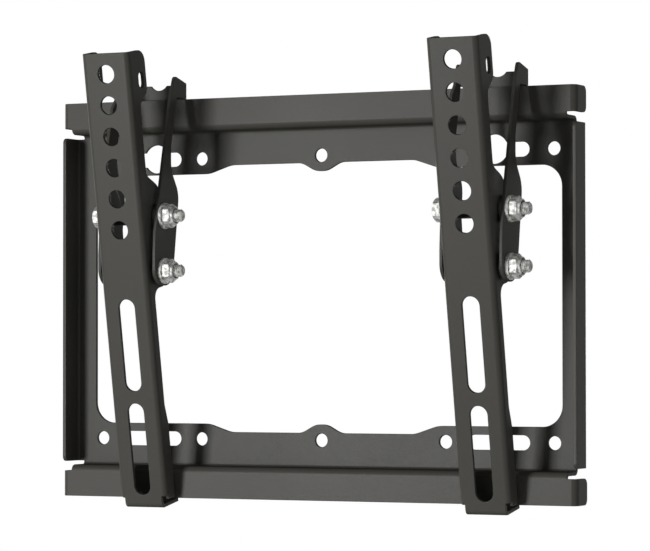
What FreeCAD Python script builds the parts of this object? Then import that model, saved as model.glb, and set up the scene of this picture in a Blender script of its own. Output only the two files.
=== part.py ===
import FreeCAD, Part
import math
import os
import Sketcher

# Tilting wall mount for a small flat screen: a folded wall plate with a rail at the top and the
# bottom, and two slotted arms, each tilting in a hook bracket that hangs on the upper rail.
# X runs along the wall to the right, Y into the wall and Z up. The origin is the middle of the
# wall hole pattern, in the face that lies against the wall. Lengths are in millimetres.

doc = FreeCAD.newDocument("tilting_mount")
sheet = doc.addObject("Spreadsheet::Sheet", "Sizes")

SIZES = [
    # Wall plate
    ("plate_width", 272.0, "width over the side flanges"),
    ("plate_sheet", 1.8, "sheet of the wall plate"),
    ("plate_bend", 1.2, "inside radius of the plate's bends"),
    ("rail_depth", 14.2, "wall to the front of the lips and flanges"),
    ("row_height", 136.8, "distance between the two rows of wall holes"),
    ("row_rail", 13.0, "row of wall holes to the face of its ledge"),
    ("lip_height", 15.4, "face of a ledge to the free edge of its lip"),
    ("return_gap", 1.0, "wall to the rear edge of a lip's end return"),
    ("return_round", 3.0, "rounding of a return's rear corners"),
    ("corner_relief", 5.0, "end of a lip to the end of its ledge"),
    ("flange_gap", 1.6, "end of a side flange to the ledge"),
    ("flange_round", 2.5, "rounding of a flange's front corners"),
    ("window_side", 12.0, "side of the plate to the window"),
    ("window_wide", 7.5, "row of wall holes to the window's edge beside the arms"),
    ("window_tall", 3.5, "row of wall holes to the window's edge between the steps"),
    ("window_round", 10.0, "rounding of the window's corners"),
    ("step_gap", 4.0, "inner wall hole to the outer end of a step"),
    ("step_length", 12.0, "length of a step"),
    ("step_round", 14.0, "rounding of the steps"),
    ("lug_reach", 7.6, "middle of the centre hole to the edge of its lug"),
    ("lug_width", 6.0, "width of a lug's edge"),
    ("lug_foot", 20.8, "width of a lug's foot"),
    ("lug_round", 8.5, "rounding of a lug"),
    ("hole_side", 16.0, "side of the plate to the outer wall holes"),
    ("hole_apart", 55.0, "outer wall hole to the inner one"),
    ("wall_hole", 6.5, "diameter of the wall holes"),
    ("wall_slot_apart", 28.0, "outer wall hole to the middle of a wall slot"),
    ("wall_slot_length", 31.6, "length of a wall slot over its ends"),
    ("wall_slot_width", 7.0, "width of a wall slot"),
    ("key_apart", 30.0, "outer wall hole to the middle of a keyhole's round"),
    ("key_hole", 13.8, "diameter of a keyhole's round"),
    ("key_rise", 0.4, "upper row up to the middle of a keyhole's round"),
    # Arms
    ("arm_width", 25.5, "width of an arm over its flanges"),
    ("arm_sheet", 1.8, "sheet of an arm"),
    ("arm_bend", 0.8, "inside radius of an arm's bends"),
    ("arm_tilt", 10.3, "lean of the arms, upper end forward"),
    ("arm_above", 80.5, "pivot to the upper end of an arm"),
    ("tab_clear", 1.0, "lower lip to an arm's tab below it"),
    ("pivot_depth", 15.0, "front face of an arm to its pivot"),
    ("hole_start", 10.0, "upper end of an arm to its first hole"),
    ("hole_pitch", 15.0, "distance between the round holes"),
    ("screen_hole", 8.8, "diameter of the round holes and width of the slots"),
    ("slot_length", 44.9, "length of a long slot over its ends"),
    ("slot_margin", 6.6, "lower end of an arm to the lower slot"),
    ("slot_gap", 6.0, "web between the two long slots"),
    ("lobe_depth", 16.4, "depth of the upper lobe of a flange"),
    ("lobe_length", 20.5, "length of the upper lobe of a flange"),
    ("lobe_slope", 5.0, "length of the slope under the lobe"),
    ("lobe_round", 6.0, "rounding of the upper lobe"),
    ("lobe_slot_depth", 11.3, "front face to the middle of the lobe's slot"),
    ("lobe_slot_width", 5.0, "width of the lobe's slot"),
    ("lobe_slot_length", 7.8, "length of the lobe's slot"),
    ("lobe_slot_drop", 14.3, "upper end of an arm to the middle of the lobe's slot"),
    ("neck_depth", 8.3, "depth of a flange between lobe and ear"),
    ("ear_top", 20.6, "pivot to the upper edge of the ear"),
    ("ear_bottom", 34.3, "pivot to the lower edge of the ear"),
    ("ear_depth", 23.5, "depth of the ear at its upper edge"),
    ("ear_slope", 9.0, "fall of the ear's upper edge towards the wall"),
    ("ear_taper", 2.0, "how much shallower the ear is at its lower edge"),
    ("ear_round_top", 16.0, "rounding of the ear's upper corner"),
    ("ear_round", 8.0, "rounding of the ear's lower corner"),
    ("flange_blend", 5.0, "rounding of the inside corners of a flange"),
    ("shin_depth", 6.6, "depth of a flange below the ear"),
    ("foot_depth", 8.8, "depth of a flange's foot"),
    ("foot_gap", 4.3, "lower end of an arm to the lower end of a foot"),
    ("foot_length", 35.7, "length of the full part of a foot"),
    ("foot_slope", 10.0, "length over which a foot widens"),
    ("foot_relief", 6.0, "length of the bend relief at the lower end"),
    ("tab_length", 16.7, "reach of the lower tab from the front face"),
    # Hook brackets
    ("left_side", 51.0, "left side of the plate to the left arm"),
    ("right_side", 41.4, "right side of the plate to the right arm"),
    ("hook_sheet", 1.6, "sheet of a hook bracket"),
    ("hook_bend", 1.0, "inside radius of a bracket's bends"),
    ("hook_gap_left", 0.55, "arm flange to the bracket's left plate"),
    ("hook_gap_right", 2.1, "arm flange to the bracket's right plate"),
    ("hook_clear", 0.4, "lip's free edge to the bracket's seat"),
    ("web_clear", 2.2, "lip's rear face to the bracket's rear web"),
    ("pivot_out", 33.6, "wall to the tilt pivot"),
    ("pivot_drop", 57.5, "free edge of the upper lip to the tilt pivot"),
    ("lock_drop", 26.4, "pivot to the tilt lock"),
    ("hook_top", 10.9, "free edge of the lip to the top of a bracket's front"),
    ("hook_slope", 3.4, "fall of a bracket's top towards the wall"),
    ("hook_front", 7.3, "pivot to a plate's front edge at the lip, towards the wall"),
    ("hook_wide", 3.0, "how far the left plate's front edge stands before the right one's"),
    ("hook_widen", 5.0, "length over which the left plate widens below the lip"),
    ("hook_lean", 4.0, "how far the front edge leans back above the lip"),
    ("hook_mouth", 13.2, "pivot to the front of the lip mouth, towards the wall"),
    ("hook_round", 2.2, "rounding of a bracket's top corner"),
    ("throat_front", 3.8, "front edge of the right plate, out from the pivot, beside it"),
    ("throat_up", 7.6, "rear edge of the throat, pivot towards the wall"),
    ("throat_low", 22.5, "pivot up to the lower end of the throat"),
    ("throat_high", 34.0, "pivot up to the upper end of the throat"),
    ("belly_rear", 15.6, "greatest reach of a side plate behind the pivot"),
    ("belly_up", 11.5, "pivot up to the greatest reach"),
    ("belly_round", 12.0, "rounding of a side plate's rear bulge"),
    ("heel_rear", 9.0, "reach of a side plate behind the tilt lock"),
    ("toe_front", 8.6, "reach of a side plate in front of the tilt lock"),
    ("toe_up", 8.0, "tilt lock up to where the toe begins"),
    ("toe_down", 7.0, "tilt lock to the lower edge of a side plate"),
    ("toe_round", 8.4, "rounding of a side plate's lower corners"),
    ("web_drop", 0.2, "rear corner of a plate to the upper edge of the rear web"),
    ("notch_radius", 5.2, "radius of the notch in a bracket's rear web"),
    ("notch_depth", 2.3, "depth of that notch"),
    ("finger_clear", 1.2, "ledge to the lower edge of a bracket's rear web"),
    # Fasteners
    ("bolt_dia", 6.0, "diameter of the bolts"),
    ("bolt_play", 0.2, "play of a bolt in a bracket, all round"),
    ("pivot_fit", 0.1, "play of an arm on its pivot bolt, all round"),
    ("lock_play", 0.3, "play of the lock bolt in its curved slot, all round"),
    ("bolt_end", 3.7, "length of a bolt beyond its nut"),
    ("bolt_tip", 0.7, "chamfer at a bolt's end"),
    ("head_flats", 10.0, "width over flats of a bolt's head"),
    ("head_height", 3.9, "height of a hexagon head"),
    ("nut_flats", 10.0, "width over flats of a nut"),
    ("nut_height", 5.2, "height of a nut"),
    ("nut_collar", 1.2, "height of the round collar of a lock nut"),
    ("collar_dia", 8.8, "diameter of the round collar of a lock nut"),
    ("hex_rim", 9.6, "diameter of the flat left by the chamfer of a head or nut"),
    ("cup_dia", 12.5, "diameter of the lock bolt's round head"),
    ("cup_height", 3.0, "height of the lock bolt's round head"),
    ("cup_rim", 1.0, "height of the straight rim of the lock bolt's head"),
    ("cup_flat", 6.9, "diameter of the flat on the lock bolt's head"),
    ("cup_clear", 0.35, "lock bolt's head to the arm flange"),
    ("washer_dia", 12.4, "diameter of a washer"),
    ("washer_thick", 1.5, "thickness of a washer"),
    ("spacer_clear", 0.35, "spacer washer to the arm flange"),
    ("sleeve_dia", 8.5, "diameter of the sleeve on a pivot bolt"),
    ("sleeve_clear", 0.3, "end of a sleeve to the arm flange"),
]

for row, (alias, number, note) in enumerate(SIZES, 1):
    sheet.set(f"A{row}", alias)
    sheet.set(f"B{row}", str(number))
    sheet.setAlias(f"B{row}", alias)
    sheet.set(f"C{row}", note)
doc.recompute()


PARALLEL = 1e-6
TOUCHING = 0.0001


class Size:
    """A length or an angle: its value, with the expression that ties it to the sheet."""

    def __init__(self, text, number):
        self.text = text
        self.number = number

    def join(self, sign, other, number):
        return Size(f"({self.text} {sign} {as_size(other).text})", number)

    def __add__(self, other):
        return self.join("+", other, self.number + as_size(other).number)

    def __sub__(self, other):
        return self.join("-", other, self.number - as_size(other).number)

    def __mul__(self, other):
        return self.join("*", other, self.number * as_size(other).number)

    def __truediv__(self, other):
        return self.join("/", other, self.number / as_size(other).number)

    def __neg__(self):
        return Size(f"(-1 * {self.text})", -self.number)


def as_size(value):
    return value if isinstance(value, Size) else Size(repr(float(value)), float(value))


def size(alias):
    return Size(f"Sizes.{alias}", float(sheet.get(alias)))


def sine(angle):
    return Size(f"sin({angle.text})", math.sin(math.radians(angle.number)))


def cosine(angle):
    return Size(f"cos({angle.text})", math.cos(math.radians(angle.number)))


def bind(target, prop, value):
    """Tie a property to the sheet."""
    target.setExpression(prop, as_size(value).text)


def new_body(label, across, outward, up):
    """A sub-part whose own origin stands at the given place."""
    body = doc.addObject("PartDesign::Body", label)
    body.Label = label
    bind(body, "Placement.Base.x", across)
    bind(body, "Placement.Base.y", outward)
    bind(body, "Placement.Base.z", up)
    return body


def new_sketch(body, name, role):
    """A sketch on one of the body's own origin planes."""
    sketch = body.newObject("Sketcher::SketchObject", name)
    plane = [item for item in body.Origin.OriginFeatures if item.Role == role][0]
    sketch.AttachmentSupport = (plane, [""])
    sketch.MapMode = "FlatFace"
    return sketch


def spot(x, y):
    """A point in a sketch."""
    return FreeCAD.Vector(as_size(x).number, as_size(y).number, 0)


def hold(sketch, kind, geometry, point, value):
    """Measure one point of a sketch from the origin."""
    value = as_size(value)
    index = sketch.addConstraint(
        Sketcher.Constraint(kind, -1, 1, geometry, point, value.number))
    bind(sketch, f"Constraints[{index}]", value)


def draw_outline(sketch, corners):
    """A closed outline of straight lines with every corner tied to the sheet."""
    spots = [spot(x, y) for x, y in corners]
    first = sketch.GeometryCount
    count = len(spots)
    for index in range(count):
        sketch.addGeometry(Part.LineSegment(spots[index], spots[(index + 1) % count]), False)
    for index in range(count):
        follower = first + (index + 1) % count
        sketch.addConstraint(Sketcher.Constraint("Coincident", first + index, 2, follower, 1))
    for index, (x, y) in enumerate(corners):
        hold(sketch, "DistanceX", first + index, 1, x)
        hold(sketch, "DistanceY", first + index, 1, y)


def draw_circle(sketch, x, y, diameter):
    """A circle with its centre and radius tied to the sheet."""
    x, y, radius = as_size(x), as_size(y), as_size(diameter) / 2
    circle = Part.Circle(spot(x, y), FreeCAD.Vector(0, 0, 1), radius.number)
    item = sketch.addGeometry(circle, False)
    hold(sketch, "DistanceX", item, 3, x)
    hold(sketch, "DistanceY", item, 3, y)
    index = sketch.addConstraint(Sketcher.Constraint("Radius", item, radius.number))
    bind(sketch, f"Constraints[{index}]", radius)


def draw_slot(sketch, x, y, length, width, upright):
    """A slot with round ends, lying along the sketch's first axis or upright in it."""
    x, y, radius = as_size(x), as_size(y), as_size(width) / 2
    reach = (as_size(length) - width) / 2
    if upright:
        ends = [(x, y + reach), (x, y - reach)]
        sides = [(-radius, 0), (radius, 0)]
        turn = 0.0
    else:
        ends = [(x + reach, y), (x - reach, y)]
        sides = [(0, radius), (0, -radius)]
        turn = -math.pi / 2
    marks = [[(ex + dx, ey + dy) for dx, dy in sides] for ex, ey in ends]
    lines = []
    for first, second in zip(marks[0], marks[1]):
        lines.append(sketch.addGeometry(Part.LineSegment(spot(*first), spot(*second)), False))
    for end in (0, 1):
        circle = Part.Circle(spot(*ends[end]), FreeCAD.Vector(0, 0, 1), radius.number)
        start = turn + end * math.pi
        arc = sketch.addGeometry(Part.ArcOfCircle(circle, start, start + math.pi), False)
        for line, mark in zip(lines, marks[end]):
            hold(sketch, "DistanceX", line, end + 1, mark[0])
            hold(sketch, "DistanceY", line, end + 1, mark[1])
        sketch.addConstraint(Sketcher.Constraint("Coincident", arc, 1, lines[1 - end], end + 1))
        sketch.addConstraint(Sketcher.Constraint("Coincident", arc, 2, lines[end], end + 1))
        if upright:
            hold(sketch, "DistanceY", arc, 3, ends[end][1])
        else:
            hold(sketch, "DistanceX", arc, 3, ends[end][0])


def pad(body, sketch, length, symmetric=False, reverse=False):
    """Thicken a sketch."""
    feature = body.newObject("PartDesign::Pad", f"{sketch.Name}_pad")
    feature.Profile = sketch
    feature.SideType = "Symmetric" if symmetric else "One side"
    feature.Reversed = reverse
    bind(feature, "Length", length)
    doc.recompute()
    return feature


def cut_through(body, sketch, one_way=False):
    """Cut a sketch right through the body, both ways from its plane or only ahead of it."""
    before = body.Tip.Shape.Volume
    feature = body.newObject("PartDesign::Pocket", f"{sketch.Name}_cut")
    feature.Profile = sketch
    feature.SideType = "One side" if one_way else "Symmetric"
    feature.Reversed = one_way
    feature.Type = "ThroughAll"
    doc.recompute()
    if not feature.Shape.Volume < before:
        raise RuntimeError(f"{feature.Name} cuts nothing")
    return feature


def groove(body, sketch, axis, angle, reverse=False):
    """Turn a sketch about one of its own axes and cut away what it passes through."""
    before = body.Tip.Shape.Volume
    feature = body.newObject("PartDesign::Groove", f"{sketch.Name}_groove")
    feature.Profile = sketch
    feature.ReferenceAxis = (sketch, [axis])
    feature.Reversed = reverse
    bind(feature, "Angle", angle)
    doc.recompute()
    if not feature.Shape.Volume < before:
        raise RuntimeError(f"{feature.Name} cuts nothing")
    return feature


def find_edges(shape, along, places):
    """Names of the straight edges along an axis that stand at the given places."""
    others = [axis for axis in "xyz" if axis != along]
    names = []
    for number, edge in enumerate(shape.Edges, 1):
        if edge.Curve.TypeId != "Part::GeomLine":
            continue
        if not math.isclose(abs(getattr(edge.Curve.Direction, along)), 1, rel_tol=PARALLEL):
            continue
        point = edge.Vertexes[0].Point
        for place in places:
            if all(abs(getattr(point, axis) - as_size(want).number) < TOUCHING
                   for axis, want in zip(others, place)):
                names.append(f"Edge{number}")
                break
    if len(names) < len(places):
        raise RuntimeError(f"only {len(names)} of {len(places)} edges found")
    return names


def round_edges(body, name, along, places, radius):
    """Round the edges along an axis that stand at the given places."""
    base = body.Tip
    feature = body.newObject("PartDesign::Fillet", name)
    feature.Base = (base, find_edges(base.Shape, along, places))
    bind(feature, "Radius", radius)
    doc.recompute()
    return feature


WHOLE_TURN = 360.0
HEX_SLOPE = math.tan(math.radians(30))
BOTH = (-1, 1)

half_plate = size("plate_width") / 2
wall_row = size("row_height") / 2
rail_level = wall_row + size("row_rail")
lip_edge = rail_level + size("lip_height")
pivot_up = lip_edge - size("pivot_drop")
outer_hole = half_plate - size("hole_side")
inner_hole = outer_hole - size("hole_apart")

EVERY_CORNER = [(side, end) for side in BOTH for end in BOTH]


def make_wall_plate():
    """The folded sheet that is screwed to the wall."""
    sheet_thick = size("plate_sheet")
    half = half_plate
    depth = size("rail_depth")
    level = rail_level
    lip = lip_edge
    flange_end = level - size("flange_gap")
    ledge_end = half - size("corner_relief")
    inside = size("plate_bend")
    outside = inside + sheet_thick
    body = new_body("wall_plate", 0, 0, 0)

    # Flat sheet, with its corners cut back where the flanges meet the ledges
    flat = new_sketch(body, "plate_flat", "XZ_Plane")
    draw_outline(flat, [
        (half, -flange_end), (half, flange_end), (ledge_end, flange_end), (ledge_end, level),
        (-ledge_end, level), (-ledge_end, flange_end), (-half, flange_end), (-half, -flange_end),
        (-ledge_end, -flange_end), (-ledge_end, -level), (ledge_end, -level),
        (ledge_end, -flange_end)])
    pad(body, flat, sheet_thick)

    # Rails: a ledge folded forward and a lip folded away from the middle
    for name, end in (("plate_rail_top", 1), ("plate_rail_bottom", -1)):
        rail = new_sketch(body, name, "YZ_Plane")
        draw_outline(rail, [
            (0, level * end), (-depth, level * end), (-depth, lip * end),
            (sheet_thick - depth, lip * end), (sheet_thick - depth, (level + sheet_thick) * end),
            (0, (level + sheet_thick) * end)])
        pad(body, rail, ledge_end * 2, symmetric=True)
    round_edges(body, "plate_rail_bends_inside", "x",
                [(-sheet_thick, level * end) for end in BOTH]
                + [(sheet_thick - depth, (level + sheet_thick) * end) for end in BOTH], inside)
    round_edges(body, "plate_rail_bends_outside", "x",
                [(0, (level + sheet_thick) * end) for end in BOTH]
                + [(-depth, level * end) for end in BOTH], outside)

    # Ends of the lips, returned towards the wall
    lip_start = level + outside
    back = -size("return_gap")
    for name, end in (("plate_lip_top", 1), ("plate_lip_bottom", -1)):
        ends = new_sketch(body, name, "XY_Plane")
        bind(ends, "AttachmentOffset.Base.z", lip_start * end)
        draw_outline(ends, [
            (-half, back), (-half, -depth), (half, -depth), (half, back),
            (half - sheet_thick, back), (half - sheet_thick, sheet_thick - depth),
            (sheet_thick - half, sheet_thick - depth), (sheet_thick - half, back)])
        pad(body, ends, lip - lip_start, reverse=end < 0)
    round_edges(body, "plate_return_bends_inside", "z",
                [((half - sheet_thick) * side, sheet_thick - depth) for side in BOTH], inside)
    round_edges(body, "plate_return_bends_outside", "z",
                [(half * side, -depth) for side in BOTH], outside)
    round_edges(body, "plate_return_corners", "x",
                [(back, level_end * end) for level_end in (lip, lip_start) for end in BOTH],
                size("return_round"))

    # Side flanges
    for name, side in (("plate_flange_left", -1), ("plate_flange_right", 1)):
        flange = new_sketch(body, name, "XY_Plane")
        draw_outline(flange, [
            (half * side, 0), (half * side, -depth), ((half - sheet_thick) * side, -depth),
            ((half - sheet_thick) * side, 0)])
        pad(body, flange, flange_end * 2, symmetric=True)
    round_edges(body, "plate_flange_bends_inside", "z",
                [((half - sheet_thick) * side, -sheet_thick) for side in BOTH], inside)
    round_edges(body, "plate_flange_bends_outside", "z",
                [(half * side, 0) for side in BOTH], outside)
    round_edges(body, "plate_flange_corners", "x",
                [(-depth, flange_end * end) for end in BOTH], size("flange_round"))

    # Window, stepped beside the arms and with a lug round each centre hole
    wide = wall_row - size("window_wide")
    tall = wall_row - size("window_tall")
    edge = half - size("window_side")
    lug = wall_row - size("lug_reach")
    lug_half = size("lug_width") / 2
    lug_foot = size("lug_foot") / 2
    step_out = inner_hole - size("step_gap")
    step_in = step_out - size("step_length")
    upper = [(edge, wide), (step_out, wide), (step_in, tall), (lug_foot, tall), (lug_half, lug)]
    upper += [(-x, z) for x, z in reversed(upper)]
    window = new_sketch(body, "plate_window", "XZ_Plane")
    draw_outline(window, upper + [(x, -z) for x, z in reversed(upper)])
    cut_through(body, window)
    round_edges(body, "plate_window_corners", "y",
                [(edge * side, wide * end) for side, end in EVERY_CORNER], size("window_round"))
    round_edges(body, "plate_window_steps", "y",
                [(x * side, z * end) for x, z in ((step_out, wide), (step_in, tall))
                 for side, end in EVERY_CORNER], size("step_round"))
    round_edges(body, "plate_window_lugs", "y",
                [(x * side, z * end) for x, z in ((lug_foot, tall), (lug_half, lug))
                 for side, end in EVERY_CORNER], size("lug_round"))

    # Wall holes and slots, in two rows alike, and keyholes in the upper row
    holes = new_sketch(body, "plate_holes", "XZ_Plane")
    for end in BOTH:
        draw_circle(holes, 0, wall_row * end, size("wall_hole"))
        for reach in (inner_hole, outer_hole):
            for side in BOTH:
                draw_circle(holes, reach * side, wall_row * end, size("wall_hole"))
    cut_through(body, holes)
    slots = new_sketch(body, "plate_slots", "XZ_Plane")
    for side, end in EVERY_CORNER:
        draw_slot(slots, (outer_hole - size("wall_slot_apart")) * side, wall_row * end,
                  size("wall_slot_length"), size("wall_slot_width"), upright=False)
    cut_through(body, slots)
    keys = new_sketch(body, "plate_keyholes", "XZ_Plane")
    for side in BOTH:
        draw_circle(keys, (outer_hole - size("key_apart")) * side, wall_row + size("key_rise"),
                    size("key_hole"))
    cut_through(body, keys)


def make_arm(label, across):
    """A channel that the screen is screwed to, drawn upright about its tilt pivot."""
    sheet_thick = size("arm_sheet")
    half = size("arm_width") / 2
    front = -size("pivot_depth")
    top = size("arm_above")
    tilt = size("arm_tilt")
    lip_back = size("pivot_out") - size("rail_depth") + size("plate_sheet")
    under_lip = (pivot_up + lip_edge) * cosine(tilt) + lip_back * sine(tilt)
    bottom = -(under_lip + size("tab_clear") + sheet_thick)
    outside = size("arm_bend") + sheet_thick
    body = new_body(label, across, -size("pivot_out"), pivot_up)
    body.Placement.Rotation = FreeCAD.Rotation(FreeCAD.Vector(1, 0, 0), 0)
    bind(body, "Placement.Rotation.Angle", tilt)

    # Side view of the flanges
    lobe = front + size("lobe_depth")
    neck = front + size("neck_depth")
    ear = front + size("ear_depth")
    ear_low = ear - size("ear_taper")
    shin = front + size("shin_depth")
    foot = front + size("foot_depth")
    lobe_end = top - size("lobe_length")
    neck_start = lobe_end - size("lobe_slope")
    ear_top = size("ear_top")
    ear_corner = ear_top - size("ear_slope")
    ear_bottom = -size("ear_bottom")
    foot_end = bottom + size("foot_gap")
    foot_full = foot_end + size("foot_length")
    foot_start = foot_full + size("foot_slope")
    side = new_sketch(body, f"{label}_side", "YZ_Plane")
    draw_outline(side, [
        (front, top), (front, foot_end), (foot, foot_end), (foot, foot_full), (shin, foot_start),
        (shin, ear_bottom), (ear_low, ear_bottom), (ear, ear_corner), (neck, ear_top),
        (neck, neck_start), (lobe, lobe_end), (lobe, top)])
    pad(body, side, half * 2, symmetric=True)
    round_edges(body, f"{label}_lobe_corner", "x", [(lobe, top)], size("lobe_round"))
    round_edges(body, f"{label}_ear_upper_corner", "x", [(ear, ear_corner)],
                size("ear_round_top"))
    round_edges(body, f"{label}_ear_lower_corner", "x", [(ear_low, ear_bottom)],
                size("ear_round"))
    round_edges(body, f"{label}_blends", "x",
                [(shin, ear_bottom), (neck, ear_top), (neck, neck_start), (lobe, lobe_end),
                 (shin, foot_start), (foot, foot_full)], size("flange_blend"))

    # Inside of the channel, then its two bends
    channel = new_sketch(body, f"{label}_channel", "XY_Plane")
    rear = ear + sheet_thick
    inner = half - sheet_thick
    draw_outline(channel, [(-inner, front + sheet_thick), (inner, front + sheet_thick),
                           (inner, rear), (-inner, rear)])
    cut_through(body, channel)
    round_edges(body, f"{label}_bend_inside", "z",
                [(inner * turn, front + sheet_thick) for turn in BOTH], size("arm_bend"))
    round_edges(body, f"{label}_bend_outside", "z",
                [(half * turn, front) for turn in BOTH], outside)

    # Relief that ends the bends above the lower tab, and the tab
    relief_top = bottom + size("foot_relief")
    web_half = half - outside
    for name, turn in ((f"{label}_relief_left", -1), (f"{label}_relief_right", 1)):
        relief = new_sketch(body, name, "XZ_Plane")
        draw_outline(relief, [
            (web_half * turn, bottom), (web_half * turn, relief_top),
            ((half + sheet_thick) * turn, relief_top), ((half + sheet_thick) * turn, bottom)])
        bind(relief, "AttachmentOffset.Base.z", -(front + outside))
        feature = body.newObject("PartDesign::Pocket", f"{name}_cut")
        feature.Profile = relief
        feature.Reversed = True
        bind(feature, "Length", outside + sheet_thick)
        doc.recompute()
    tab = new_sketch(body, f"{label}_tab", "YZ_Plane")
    tab_end = front + size("tab_length")
    draw_outline(tab, [
        (front, foot_end), (front, bottom), (tab_end, bottom), (tab_end, bottom + sheet_thick),
        (front + sheet_thick, bottom + sheet_thick), (front + sheet_thick, foot_end)])
    pad(body, tab, web_half * 2, symmetric=True)
    round_edges(body, f"{label}_tab_bend_inside", "x",
                [(front + sheet_thick, bottom + sheet_thick)], size("arm_bend"))
    round_edges(body, f"{label}_tab_bend_outside", "x", [(front, bottom)], outside)

    # Holes and long slots for the screen's screws
    holes = new_sketch(body, f"{label}_holes", "XZ_Plane")
    for index in range(6):
        level = top - size("hole_start") - size("hole_pitch") * index
        draw_circle(holes, 0, level, size("screen_hole"))
    slot_level = bottom + size("slot_margin") + size("slot_length") / 2
    for index in range(2):
        level = slot_level + (size("slot_length") + size("slot_gap")) * index
        draw_slot(holes, 0, level, size("slot_length"), size("screen_hole"), upright=True)
    cut_through(body, holes)

    # Slot in the upper lobe
    lobe_slot = new_sketch(body, f"{label}_lobe_slot", "YZ_Plane")
    draw_slot(lobe_slot, front + size("lobe_slot_depth"), top - size("lobe_slot_drop"),
              size("lobe_slot_length"), size("lobe_slot_width"), upright=True)
    cut_through(body, lobe_slot)

    # Pivot hole, and the curved slot that the lock bolt runs in as the arm tilts
    pivot = new_sketch(body, f"{label}_pivot", "YZ_Plane")
    draw_circle(pivot, 0, 0, size("bolt_dia") + size("pivot_fit") * 2)
    cut_through(body, pivot)
    lock = size("lock_drop")
    lock_dia = size("bolt_dia") + size("lock_play") * 2
    ends = ((f"{label}_lock_upright", 0, -lock),
            (f"{label}_lock_leaning", -(lock * sine(tilt)), -(lock * cosine(tilt))))
    for name, outward, level in ends:
        hole = new_sketch(body, name, "YZ_Plane")
        draw_circle(hole, outward, level, lock_dia)
        cut_through(body, hole)
    sweep = new_sketch(body, f"{label}_lock_sweep", "XZ_Plane")
    reach = half + sheet_thick
    draw_outline(sweep, [
        (-reach, lock_dia / 2 - lock), (reach, lock_dia / 2 - lock),
        (reach, -lock - lock_dia / 2), (-reach, -lock - lock_dia / 2)])
    groove(body, sweep, "H_Axis", tilt, reverse=True)


def make_hook_bracket(label, across):
    """The bracket that hangs on the upper lip and carries an arm, drawn about the tilt pivot."""
    sheet_thick = size("hook_sheet")
    half = (size("arm_width") + size("hook_gap_left") + size("hook_gap_right")) / 2 + sheet_thick
    aside = (size("hook_gap_right") - size("hook_gap_left")) / 2
    out = size("pivot_out")
    clear = size("hook_clear")
    web_front = out - size("rail_depth") + size("plate_sheet") + size("web_clear")
    web_rear = web_front + sheet_thick
    seat = size("pivot_drop") + clear
    top = seat + size("hook_top") - clear
    top_rear = top - size("hook_slope")
    finger = rail_level + size("plate_sheet") + size("finger_clear") - pivot_up
    lock = -size("lock_drop")
    body = new_body(label, across + aside, -out, pivot_up)

    # Side view of the two plates
    front = size("hook_front")
    front_top = front + size("hook_lean")
    mouth = size("hook_mouth")
    throat_rear = size("throat_up")
    throat_front = -size("throat_front")
    belly = size("belly_rear")
    belly_up = size("belly_up")
    heel = size("heel_rear")
    toe = -size("toe_front")
    toe_up = lock + size("toe_up")
    toe_down = lock - size("toe_down")
    throat_low = size("throat_low")
    throat_high = size("throat_high")
    wide = size("hook_wide")
    widen = size("hook_widen")
    wide_front = throat_front - wide
    wide_top = front - (front - throat_front) * widen / (seat - belly_up) - wide
    side = new_sketch(body, f"{label}_side", "YZ_Plane")
    draw_outline(side, [
        (front_top, top), (front, seat), (wide_top, seat - widen), (wide_front, belly_up),
        (toe, toe_up), (toe, toe_down), (heel, toe_down), (belly, belly_up),
        (throat_rear, throat_low), (throat_rear, throat_high), (mouth, seat), (web_rear, seat),
        (web_rear, top_rear)])
    pad(body, side, half * 2, symmetric=True)
    round_edges(body, f"{label}_top_corner", "x", [(front_top, top)], size("hook_round"))
    round_edges(body, f"{label}_toe", "x",
                [(toe, toe_up), (toe, toe_down), (heel, toe_down)], size("toe_round"))
    round_edges(body, f"{label}_belly", "x",
                [(belly, belly_up), (wide_front, belly_up), (throat_rear, throat_low)],
                size("belly_round"))

    # Space between the plates, open to the front, then the two bends at the rear web
    inside = new_sketch(body, f"{label}_inside", "XY_Plane")
    inner = half - sheet_thick
    draw_outline(inside, [(-inner, toe - sheet_thick), (inner, toe - sheet_thick),
                          (inner, web_front), (-inner, web_front)])
    cut_through(body, inside)
    round_edges(body, f"{label}_bend_inside", "z",
                [(inner * turn, web_front) for turn in BOTH], size("hook_bend"))
    outside = size("hook_bend") + sheet_thick
    round_edges(body, f"{label}_bend_outside", "z",
                [(half * turn, web_rear) for turn in BOTH], outside)

    # Finger of the rear web, down behind the lip
    behind = new_sketch(body, f"{label}_finger", "YZ_Plane")
    draw_outline(behind, [(web_front, finger), (web_rear, finger), (web_rear, seat + sheet_thick),
                          (web_front, seat + sheet_thick)])
    pad(body, behind, (half - outside) * 2, symmetric=True)

    # Upper edge of the rear web, lower than the plates and with a round notch
    web_top = top_rear - size("web_drop")
    web_half = half - outside
    edge = new_sketch(body, f"{label}_web_edge", "XZ_Plane")
    draw_outline(edge, [(-web_half, web_top), (web_half, web_top), (web_half, top),
                        (-web_half, top)])
    cut_through(body, edge)
    notch = new_sketch(body, f"{label}_notch", "XZ_Plane")
    draw_circle(notch, 0, web_top + size("notch_radius") - size("notch_depth"),
                size("notch_radius") * 2)
    cut_through(body, notch)

    # Narrower front of the right plate
    trim = new_sketch(body, f"{label}_trim", "YZ_Plane")
    ahead = toe - sheet_thick
    draw_outline(trim, [(front, seat), (throat_front, belly_up), (ahead, toe_up),
                        (ahead - wide, toe_up), (ahead - wide, seat)])
    cut_through(body, trim, one_way=True)

    # Bolt holes
    holes = new_sketch(body, f"{label}_holes", "YZ_Plane")
    for level in (0, lock):
        draw_circle(holes, 0, level, size("bolt_dia") + size("bolt_play") * 2)
    cut_through(body, holes)


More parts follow.
